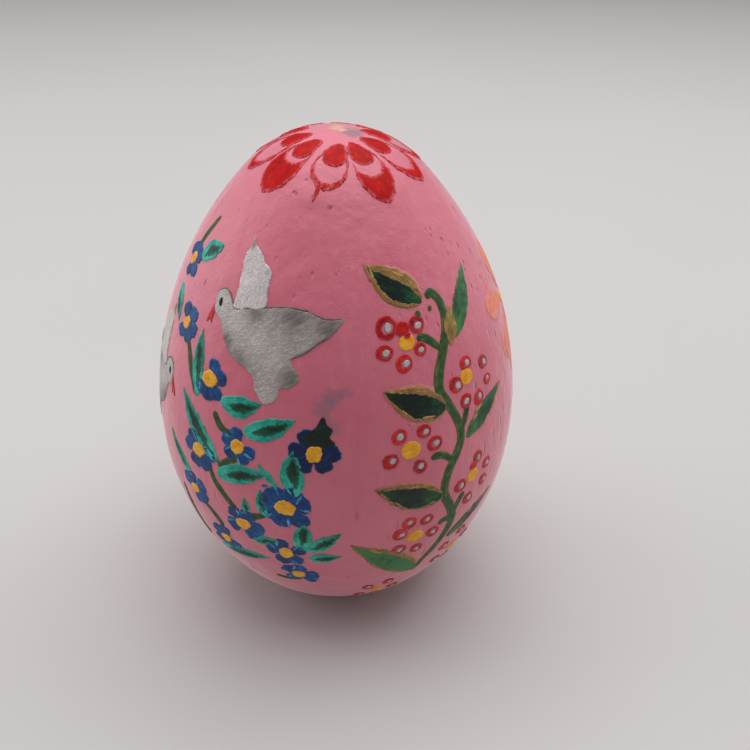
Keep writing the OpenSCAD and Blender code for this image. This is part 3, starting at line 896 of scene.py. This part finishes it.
# Flowers as (longitude, height, petal angles, petal length, centre's diameter)
FLOWERS = [
    (-72, 63.2, (80, 30, -45, -100, 150), 2.4, 2.0), (-59, 56, (112, 55, -15, -65, -125), 2.5, 1.9),
    (-42, 50.8, (78, 22, -45, -92, -140), 2.5, 2.7), (-45, 39, (125, 70, 5, -62, -112, 178), 2.7, 2.6),
    (-30, 42.5, (100, 160, -128, -68, -12), 2.3, 2.4), (-7, 43.5, (62, 0, -55, -125, 172, 118), 2.9, 2.5),
    (-15.6, 34, (128, 172, -148, -98, -48, 8, 62), 3.3, 3.0),
    (-30, 28.5, (120, 60, -5, -60, -150), 2.8, 2.5), (-40, 22.5, (135, 80, -25, -85, -150), 2.4, 2.2),
    (-49, 30.8, (105, 150, -80, -30, 40), 2.6, 2.0), (-17, 24.1, (165, 100, 25, -50, -110), 2.6, 2.5),
    (-14.5, 18.4, (150, 80, 5, -45, -120), 2.5, 2.2)
]
# Which flowers, counted from 0, have light strokes, and which one is nearly black
LIT_FLOWERS = (4, 6, 7, 10, 11)
DARK_FLOWER = 5
# Leaves as (base, tip, width, bend)
GARLAND_LEAVES = [
    ((-66, 64.2), (-53, 67.2), 3.0, 0.3), ((-73, 59.5), (-65, 55), 2.2, 0),
    ((-46.5, 47.5), (-49, 57), 2.5, 0.2), ((-37, 48.4), (-22.5, 49.8), 3.4, -0.7),
    ((-36.5, 38.5), (-54, 47.5), 3.4, 0.5), ((-28.5, 44.8), (-12, 48.3), 3.3, -0.3),
    ((-38, 36.4), (-20.5, 39.2), 3.4, 0.2), ((-12, 36.2), (-12.8, 44), 3.6, 0.5),
    ((-50, 32.8), (-61, 38.6), 2.0, 0.3), ((-46, 18.6), (-23, 21.4), 2.8, 0.3),
    ((-28, 25.2), (-18, 26.6), 1.9, 0.2), ((-12, 25.4), (-10, 31.6), 3.0, 0),
    ((-11, 25.2), (0.5, 29.6), 2.6, -0.2), ((-10, 23.4), (0.5, 24.2), 2.3, -0.1),
    ((-17.5, 37), (-24, 41), 1.2, 0.0), ((-22, 31.5), (-23, 36.4), 1.9, 0.2),
    ((-28, 30.8), (-28.5, 34), 1.5, 0)
]
# Stems as places along them, and the widths that a stem's length is shared between
GARLAND_STEMS = [
    [(-68, 69.5), (-71.5, 66.8), (-73, 64.6)], [(-57, 54.5), (-54, 53), (-51, 50.5), (-47, 47.4)],
    [(-41, 37.5), (-39, 35), (-36, 33.2), (-32, 31)], [(-47, 29), (-43, 28), (-39, 25.6)],
    [(-31, 44), (-36, 44.5), (-39, 46.5)], [(-29, 41), (-33, 39.6), (-37, 38)],
    [(-22, 31.6), (-25, 31), (-28, 30.4)], [(-58, 29), (-56, 24), (-52, 19.5)],
    [(-24, 16), (-19, 16), (-14, 17)]
]
GARLAND_STEM_W = (0.8, 1.3, 1.1)
# Black-green leaf that is laid over the dark flower, on the plane at its centre
BLACK_LEAF = [
    (-1.3, 1.2), (-1.6, 2.4), (-0.6, 3.2), (0.4, 4.2), (1.2, 5.6), (1.9, 4.4), (2.6, 3.6), (2.2, 2.6),
    (2.9, 1.6), (1.6, 1.0), (0.2, 1.3)
]
BLUE_SPECK = (-21.5, 37.2)


def leaf_plane(base, tip):
    """Plane at a leaf's middle, along it, and the leaf's length."""
    middle = ((base[0] + tip[0]) / 2, (base[1] + tip[1]) / 2)
    level = Plane(middle)
    ahead = on_surface(tip) - on_surface(base)
    turn = math.degrees(math.atan2(ahead @ level.up, ahead @ level.right))
    return Plane(middle, turn), float(np.linalg.norm(ahead))


def around(place, turn):
    """The place turned about the egg's axis."""
    return (place[0] + turn, place[1])


def make_flower(plane, index, angles, size, eye, petals, lights, centres):
    """One blue flower: ragged petals, light strokes on some, and a yellow blob."""
    rng = petals.rng
    for angle in angles:
        aim = angle + rng.uniform(-7, 7)
        reach = eye * 0.42 + size * rng.uniform(0.8, 0.98)
        wide = size * rng.uniform(0.88, 1.08)
        tone = -0.05 if index == DARK_FLOWER else rng.uniform(0.25, 0.5)
        petal = tongue_outline(eye * 0.2, reach, wide, 0.6, 0.5, 0.5)
        petals.shape(plane, turned(petal, aim), rough=0.24, grain=angle, base_tone=tone, grid=0.27)
        if index in LIT_FLOWERS and rng.random() < 0.85:
            side = rng.choice((-1, 1)) * wide * rng.uniform(0.2, 0.36)
            light = oval_outline(size * rng.uniform(0.45, 0.7), 0.36, (reach * rng.uniform(0.6, 0.75), side),
                                 rng.uniform(-25, 25))
            lights.shape(plane, turned(light, aim), lift=BRUSH_T * 0.85, thick=OVER_T * 0.7, grid=0.17,
                         edge=0.1, rough=0.16, grain=angle, base_tone=rng.uniform(0.2, 0.8), fade=0.14)
    centres.shape(plane, oval_outline(eye * 1.08, eye * 0.92, (0, 0), rng.uniform(0, 90)), lift=BRUSH_T * 0.6,
                  thick=OVER_T * 1.4, grid=0.26, rough=0.26, edge=0.22, base_tone=0.55)


def make_garland():
    stems = Film(10, "garland_stems_green", VINE_GREEN, "dark_green_paint", "garland_stems")
    leaves = Film(11, "garland_leaves_teal", TEAL, "teal_paint", "garland_leaves")
    hearts = Film(12, "leaf_hearts_green", HEART, "dark_green_paint", "leaf_hearts")
    petals = Film(13, "blue_petals_brushed", BLUE, "blue_paint", "blue_petals")
    lights = Film(14, "petal_lights_blue", LIGHT_BLUE, "light_blue_paint", "petal_lights")
    centres = Film(15, "flower_centres_yellow", YELLOW, "yellow_paint", "flower_centres")
    night = Film(16, "dark_flower_leaf", BLACK_GREEN, "dark_green_paint", "dark_leaf")
    for turn in GARLAND_TURNS:
        for knots in GARLAND_STEMS:
            stems.stroke([around(k, turn) for k in knots], GARLAND_STEM_W, base_tone=0.35)
        for base, tip, width, bend in GARLAND_LEAVES:
            plane, length = leaf_plane(around(base, turn), around(tip, turn))
            leaves.shape(plane, leaf_outline(length, width, 0.45, bend, 0.5), rough=0.24, base_tone=0.5,
                         tones=[(-length * 0.3, 0, width * 0.6, 0.8), (length * 0.45, 0, 0.8, 0.3)])
            if width > 1.4:
                heart = turned(leaf_outline(length * 0.74, width * 0.52, 0.5, bend * 0.6, 0.1), 0,
                               (0.03 * length, bend * 0.25 - 0.04 * width))
                hearts.shape(plane, heart, lift=BRUSH_T * 0.8, thick=OVER_T * 0.7, rough=0.34, edge=0.12,
                             grid=0.24, base_tone=0.35, fade=0.4,
                             tones=[(length * 0.12, 0, width * 0.4, 0.0)])
        for index, (lon, z, angles, size, eye) in enumerate(FLOWERS):
            make_flower(Plane((lon + turn, z)), index, angles, size, eye, petals, lights, centres)
        night.shape(Plane(around(FLOWERS[DARK_FLOWER][:2], turn)), smooth_loop(BLACK_LEAF, 4), rough=0.12,
                    lift=BRUSH_T * 0.7, thick=OVER_T, grid=0.26)
        petals.shape(Plane(around(BLUE_SPECK, turn)), oval_outline(1.0, 0.4, turn=15), rough=0.15, grid=0.18,
                     edge=0.1)


# ---------------------------------------------------------------- berry vine
VINE_TURNS = (0, 122)
VINE_STEM = [
    (33.5, 62.2), (36, 62.7), (39, 61), (38.4, 58.2), (35.5, 55.4), (32.4, 52.6), (31.6, 50.4), (33.6, 48.2),
    (36.8, 45.2), (38.2, 42), (36, 39.4), (33, 36.8), (32, 33.4), (35.4, 29.4), (36.8, 26.4), (34.4, 22.4),
    (30, 18.6), (27, 15.6)
]
VINE_STEM_W = (1.2, 1.5, 1.8, 1.5, 1.7, 1.6, 1.7, 1.5, 1.2)
TWIG_W = (1.0, 1.2, 1.3)
TWIGS = [
    [(34.6, 55.6), (30, 57.4), (26.4, 57.9)], [(38.4, 43), (40.6, 45), (41.6, 46.6)],
    [(35, 38.6), (31, 40.3), (27, 40.6)], [(36.6, 28.4), (38.5, 30.4), (40, 31.6)],
    [(36.6, 27), (33.4, 27.6), (31.6, 26.9)]
]
# Leaves as (base, tip, width, bend, how much gold, width of the wash past one side, tone of the middle)
VINE_LEAVES = [
    ((32, 62), (11.5, 67.5), 3.8, 0.4, 1.0, 0.8, 0.0), ((39, 56.2), (56.6, 64.6), 3.2, -0.5, 0.0, 0.0, 0.55),
    ((33.4, 47.4), (13.2, 52), 4.3, 0.5, 0.7, 0.8, -0.1), ((40, 41.4), (60, 46), 3.1, 0.3, 0.25, 0, 0.4),
    ((31.6, 32.8), (9.4, 37.4), 4.2, 0.3, 0.6, 0.5, 0.05), ((37, 22.2), (58, 27), 2.6, 0.3, 0.2, 0, 0.35),
    ((27.6, 15.8), (1.6, 26.8), 4.2, -0.4, 0.5, 0.9, 0.75)
]
LEAF_BELLY = 0.42
LEAF_BLUNT = 0.45
# Dabs of gold along the edge of a fully gilded leaf
DABS = 34
# Gold bands along a leaf's edges: their widths in mm at full gold, and the least gold that has them
UPPER_BAND_W = 1.5
LOWER_BAND_W = 0.7
BAND_FROM = 0.4
# Patch of gold at the foot of the upright leaf, as (place, length, width, turn)
GOLD_PATCH = ((40.6, 58.0), 5.6, 2.4, 74)
# Berry clusters as (centre, its diameter, berries), and each berry as (longitude, height, diameter)
CLUSTERS = [
    ((22.6, 57.6), 2.4, [(16.3, 59.8, 3.4), (27.2, 59.5, 2.6), (27, 56.4, 2.2), (14.8, 56.8, 2.6),
        (20.8, 55, 2.7)]),
    ((42.6, 50.4), 2.6, [(43.4, 52.3, 2.4), (51.5, 51, 2.3), (38, 50, 2.7), (52.4, 48.2, 2.0),
        (41.2, 47, 2.4), (47, 46.4, 2.5)]),
    ((20.6, 42.7), 3.0, [(17.3, 45.1, 2.6), (25, 45.1, 2.4), (28.4, 42.7, 2.6), (14.5, 41.6, 2.6),
        (23.4, 39.7, 2.5)]),
    ((43.4, 33.8), 2.5, [(45.6, 36.7, 2.3), (50.6, 34.2, 2.2), (49.8, 31.2, 2.3), (38.2, 33.2, 2.5),
        (42.6, 29.5, 2.5)]),
    ((23.4, 26.3), 2.8, [(20.8, 29.6, 2.5), (26.6, 29.2, 2.4), (18, 27.6, 2.5), (29.6, 25.8, 2.4),
        (18.4, 24, 2.5), (24.8, 23, 2.3)]),
    ((45, 17.2), 2.5, [(39, 19, 2.2), (38.6, 15.2, 2.3), (46, 21, 2.2), (51.6, 18, 2.3),
        (47, 13.4, 2.2)]),
    ((15, 11), 2.5, [(10.6, 13, 2.2), (18.6, 13.8, 2.3), (22.5, 10.6, 2.2), (8, 9.2, 2.2),
        (16, 7.8, 2.2)])]
# Blobs without a ring, and drops of the stem's green, as (longitude, height, diameter)
RED_BLOBS = [(21.6, 59.4, 2.3), (23, 58.4, 1.1), (43.6, 35.6, 1.6)]
GREEN_DROPS = [(33.8, 60.9, 0.9), (28.5, 60.6, 1.2)]


def gold_band(edge, upward, band):
    """Outline of a band on the upper or lower edge of a leaf, widest at its middle."""
    count = len(edge) // 2 + 1
    side = edge[:count] if upward > 0 else np.vstack([edge[:1], edge[count:][::-1], edge[count - 1:count]])
    rise = np.sin(np.linspace(0, math.pi, count)) ** 0.6 * band * upward
    outer, inner = (side + np.stack([np.zeros(count), rise * part], 1) for part in (0.4, -0.6))
    return np.vstack([outer, inner[::-1][1:-1]])


def make_vine_leaf(base, tip, width, bend, gilt, wash, tone, leaves, gilding, washes):
    """One vine leaf with a dark middle, dry gold along its edge and a thin wash past one side."""
    plane, length = leaf_plane(base, tip)
    edge = leaf_outline(length, width, LEAF_BELLY, bend, LEAF_BLUNT)
    leaves.shape(plane, edge, rough=0.16, base_tone=tone + 0.25,
                 tones=[(0, 0, width * 0.6, tone), (-length * 0.34, 0, width * 0.4, tone + 0.5),
                        (length * 0.42, 0, width * 0.35, tone + 0.45)])
    lay = {"lift": BRUSH_T * 0.5, "thick": OVER_T, "edge": 0.1, "grid": 0.34}
    upward = 1 if plane.up[2] > 0 else -1
    rng = gilding.rng
    for _ in range(int(DABS * gilt)):
        at = rng.randrange(2, len(edge) - 2)
        ahead = edge[at + 1] - edge[at - 1]
        angle = math.degrees(math.atan2(ahead[1], ahead[0]))
        middle = edge[at] * rng.uniform(0.84, 1.02)
        thick = rng.uniform(0.2, 0.42) * (1.5 if middle[1] * upward > 0 else 1.0)
        dab = oval_outline(rng.uniform(1.1, 2.6), thick, middle, angle + rng.uniform(-9, 9))
        gilding.shape(plane, dab, rough=0.12, base_tone=rng.uniform(0.1, 0.8), **lay)
    if gilt > BAND_FROM:
        for side, band in ((upward, UPPER_BAND_W * gilt), (-upward, LOWER_BAND_W * gilt)):
            gilding.shape(plane, gold_band(edge, side, band), rough=0.3, base_tone=0.35,
                          tones=[(0, 0, width, 0.5)], **lay)
    if wash:
        lean = upward * wash
        far = leaf_outline(length * 0.95, width + wash * 2, LEAF_BELLY, bend + lean * 0.15, 0.6)
        near = leaf_outline(length * 0.9, width * 0.9, LEAF_BELLY, bend - lean * 0.8, 0.4)
        washes.shape(plane, far, [near], rough=0.3, lift=-0.02, thick=0.05, grid=0.24, base_tone=0.45,
                     fade=0.9)


def make_berry(rings, dots, plane, size):
    """A red ring with a silver dot off its middle."""
    rng = rings.rng
    slip = (0.14 * size * rng.uniform(0.1, 1), -0.1 * size * rng.uniform(-0.6, 1))
    gap = oval_outline(size * rng.uniform(0.44, 0.54), size * rng.uniform(0.4, 0.48), slip,
                       rng.uniform(0, 90))
    ring = oval_outline(size, size * rng.uniform(0.88, 0.97), (0, 0), rng.uniform(0, 180))
    rings.shape(plane, ring, [gap], grid=0.26, rough=0.12, edge=0.14, base_tone=rng.uniform(0.3, 0.55))
    silver = oval_outline(size * rng.uniform(0.34, 0.44), size * rng.uniform(0.28, 0.38), slip,
                          rng.uniform(0, 90))
    dots.shape(plane, silver, grid=0.18, rough=0.14, edge=0.14, lift=0.02, thick=BRUSH_T * 1.2)


def make_vine():
    stem = Film(20, "vine_stem_green", VINE_GREEN, "vine_green_paint", "vine_stem")
    leaves = Film(21, "vine_leaves_green", LEAF_GREEN, "vine_green_paint", "vine_leaves")
    gilding = Film(22, "leaf_gilding_gold", GOLD, "gold_paint", "leaf_gilding")
    rings = Film(23, "berry_rings_red", BERRY_RED, "red_paint", "berry_rings")
    dots = Film(24, "berry_dots_silver", DOT_SILVER, "silver_paint", "berry_dots")
    centres = Film(25, "berry_centres_yellow", YELLOW, "yellow_paint", "berry_centres")
    washes = Film(26, "leaf_wash_ochre", WASH, "gold_paint", "leaf_gilding")
    for turn in VINE_TURNS:
        stem.stroke([around(k, turn) for k in VINE_STEM], VINE_STEM_W, base_tone=0.45)
        for knots in TWIGS:
            stem.stroke([around(k, turn) for k in knots], TWIG_W, base_tone=0.4)
        for lon, z, size in GREEN_DROPS:
            stem.shape(Plane((lon + turn, z)), oval_outline(size, size * 0.8, (0, 0), 70), grid=0.24)
        for base, tip, *rest in VINE_LEAVES:
            make_vine_leaf(around(base, turn), around(tip, turn), *rest, leaves, gilding, washes)
        place, length, width, angle = GOLD_PATCH
        gilding.shape(Plane(around(place, turn), angle), leaf_outline(length, width), rough=0.3, grid=0.2,
                      edge=0.1, lift=BRUSH_T * 0.5, thick=OVER_T, base_tone=0.55, fade=0.5)
        for centre, eye, berries in CLUSTERS:
            centres.shape(Plane(around(centre, turn)), oval_outline(eye, eye * 0.95), rough=0.12)
            for lon, z, size in berries:
                make_berry(rings, dots, Plane((lon + turn, z)), size)
        for lon, z, size in RED_BLOBS:
            rings.shape(Plane((lon + turn, z)), oval_outline(size, size * 0.9), grid=0.26, rough=0.1,
                        lift=BRUSH_T * 0.6, thick=OVER_T)


# ---------------------------------------------------------------- orange blossom
BLOSSOM = (84, 54.5)
# Upright strokes beside the blossom, as (place, length, width)
BLOSSOM_STROKES = [
    ((69.5, 59.4), 4.4, 0.9), ((69, 49.8), 5.0, 1.0), ((63.5, 56.8), 3.0, 0.5), ((75.5, 45.6), 4.0, 0.8)
]


def make_blossom():
    petals = Film(30, "orange_blossom_petals", ORANGE, "orange_paint", "orange_blossom")
    eye = Film(31, "blossom_eye_yellow", YELLOW, "yellow_paint", "blossom_eye")
    plane = Plane(BLOSSOM)
    for k in range(5):
        angle = 90 + 72 * k
        petal = tongue_outline(1.6, 10.2, 5.0, 0.6, 0.6, 0.7)
        petals.shape(plane, turned(petal, angle), rough=0.3, grain=angle, tones=[(0, 0, 3, 0.2)], fade=1.0,
                     thick=0.08)
    for place, length, width in BLOSSOM_STROKES:
        petals.shape(Plane(place), oval_outline(width, length), rough=0.24, grain=90, thick=0.06, grid=0.24,
                     fade=0.8)
    eye.shape(plane, oval_outline(2.3, 2.2), rough=0.12)


# ---------------------------------------------------------------- studio
CAMERA_DISTANCE = 149.1 * MM
CAMERA_ELEVATION = 31.4
CAMERA_ROLL = 0.58
# Focal length as a share of the picture's width
FOCAL_SHARE = 1.2
EGG_CENTRE = Vector((0, 0, EGG_H / 2 * MM))
# Where the egg's centre sits in the frame, as shares of its width right of and above the middle
FRAME_RIGHT = -0.0495
FRAME_UP = 0.0093


def make_camera():
    """A close camera, tilted down, with the egg a little left of the middle."""
    data = bpy.data.cameras.new("view")
    data.lens = data.sensor_width * FOCAL_SHARE
    data.clip_start = 0.005
    camera = new_object("view", data)
    tilt = math.radians(CAMERA_ELEVATION)
    back = Vector((0, -math.cos(tilt), math.sin(tilt)))
    camera.location = EGG_CENTRE + back * CAMERA_DISTANCE
    up = Vector((0, math.sin(tilt), math.cos(tilt)))
    aim = -back - Vector((1, 0, 0)) * (FRAME_RIGHT / FOCAL_SHARE) - up * (FRAME_UP / FOCAL_SHARE)
    look = aim.to_track_quat("-Z", "Y")
    camera.rotation_mode = "QUATERNION"
    camera.rotation_quaternion = look @ Quaternion((0, 0, 1), math.radians(CAMERA_ROLL))
    bpy.context.scene.camera = camera


def make_floor():
    """Pale seamless table."""
    n = Nodes("pale_table")
    where = n.place()
    colour = n.mix(n.span(n.noise(where, 4.0, 2.0), 0.3, 0.7), (190, 188, 187), (194, 192, 191))
    n.link(colour, n.shader.inputs["Base Color"])
    n.shader.inputs["Roughness"].default_value = 0.7
    size = 3.0
    mesh = bpy.data.meshes.new("table")
    corners = [(-size, -size, 0), (size, -size, 0), (size, size, 0), (-size, size, 0)]
    mesh.from_pydata(corners, [], [(0, 1, 2, 3)])
    mesh.materials.append(n.material)
    floor = new_object("table", mesh)


def softbox(name, place, size, watts):
    """A rectangular lamp that faces the egg's centre."""
    data = bpy.data.lights.new(name, "AREA")
    data.shape = "RECTANGLE"
    data.size, data.size_y = size
    data.energy = watts
    lamp = new_object(name, data)
    lamp.location = place
    lamp.rotation_euler = (EGG_CENTRE - Vector(place)).to_track_quat("-Z", "Y").to_euler()


def make_lights():
    """A light tent: bright above, behind and beside the egg, and dim towards the camera."""
    world = bpy.data.worlds.new("tent")
    bpy.context.scene.world = world
    world.use_nodes = True
    backdrop = world.node_tree.nodes["Background"]
    backdrop.inputs["Color"].default_value = (1.0, 0.97, 0.97, 1)
    backdrop.inputs["Strength"].default_value = 0.23
    softbox("tent_top", (0.05, 0.115, 0.62), (0.8, 0.8), 4.75)
    softbox("tent_left", (-0.7, 0.2, 0.3), (0.5, 0.7), 2.3)
    softbox("tent_right", (0.7, 0.2, 0.3), (0.5, 0.7), 1.3)


make_ground_coat()
make_crown()
make_doves()
make_garland()
make_vine()
make_blossom()
for film in FILMS:
    film.build()
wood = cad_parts["egg_body"]
wood.data.materials.clear()
wood.data.materials.append(bare_wood())
make_floor()
make_lights()
make_camera()
bpy.context.scene.view_settings.view_transform = "Standard"
